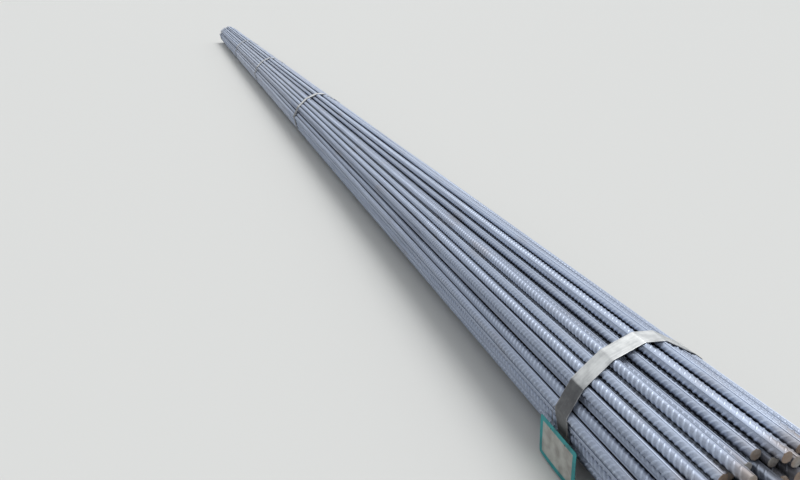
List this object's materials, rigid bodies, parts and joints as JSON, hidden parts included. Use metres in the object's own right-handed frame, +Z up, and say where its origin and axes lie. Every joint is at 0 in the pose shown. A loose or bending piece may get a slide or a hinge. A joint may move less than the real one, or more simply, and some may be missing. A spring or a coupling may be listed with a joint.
{
  "type": "rebar bundle",
  "caption": "Long straight bundle of ribbed steel reinforcing bars of one size, lying level, held by flat steel straps with crimped seals and carrying a blank tag.",
  "frame": {"origin": "on the floor, under the middle of the bundle", "axes": "+X along the bars, away from the tagged end; +Z up; +Y towards the tagged side"},
  "size_m": [9.05, 0.2544, 0.2132],
  "materials": {
    "bar_steel": "hot-rolled, blue-grey mill scale with a little brown at the cut ends",
    "strap_steel": "dull waxed steel strapping, rubbed along its edges",
    "seal_steel": "bright crimped steel",
    "tag_card": "blank grey card with a teal border",
    "tie_wire": "dull soft wire"
  },
  "bodies": {
    "root": {"bars_level_01": "bar_steel", "bars_level_02": "bar_steel", "bars_level_03": "bar_steel", "bars_level_04": "bar_steel", "bars_level_05": "bar_steel", "bars_level_06": "bar_steel", "bars_level_07": "bar_steel", "bars_level_08": "bar_steel", "bars_level_09": "bar_steel", "bars_level_10": "bar_steel", "bars_level_11": "bar_steel", "bars_level_12": "bar_steel", "bars_level_13": "bar_steel", "bars_level_14": "bar_steel", "strap_1": "strap_steel", "strap_2": "strap_steel", "strap_3": "strap_steel", "strap_4": "strap_steel", "strap_5": "strap_steel", "strap_seal_1": "seal_steel", "strap_seal_2": "seal_steel", "strap_seal_3": "seal_steel", "strap_seal_4": "seal_steel", "strap_seal_5": "seal_steel", "tag": "tag_card", "tag_tie": "tie_wire"}
  },
  "joints": []
}
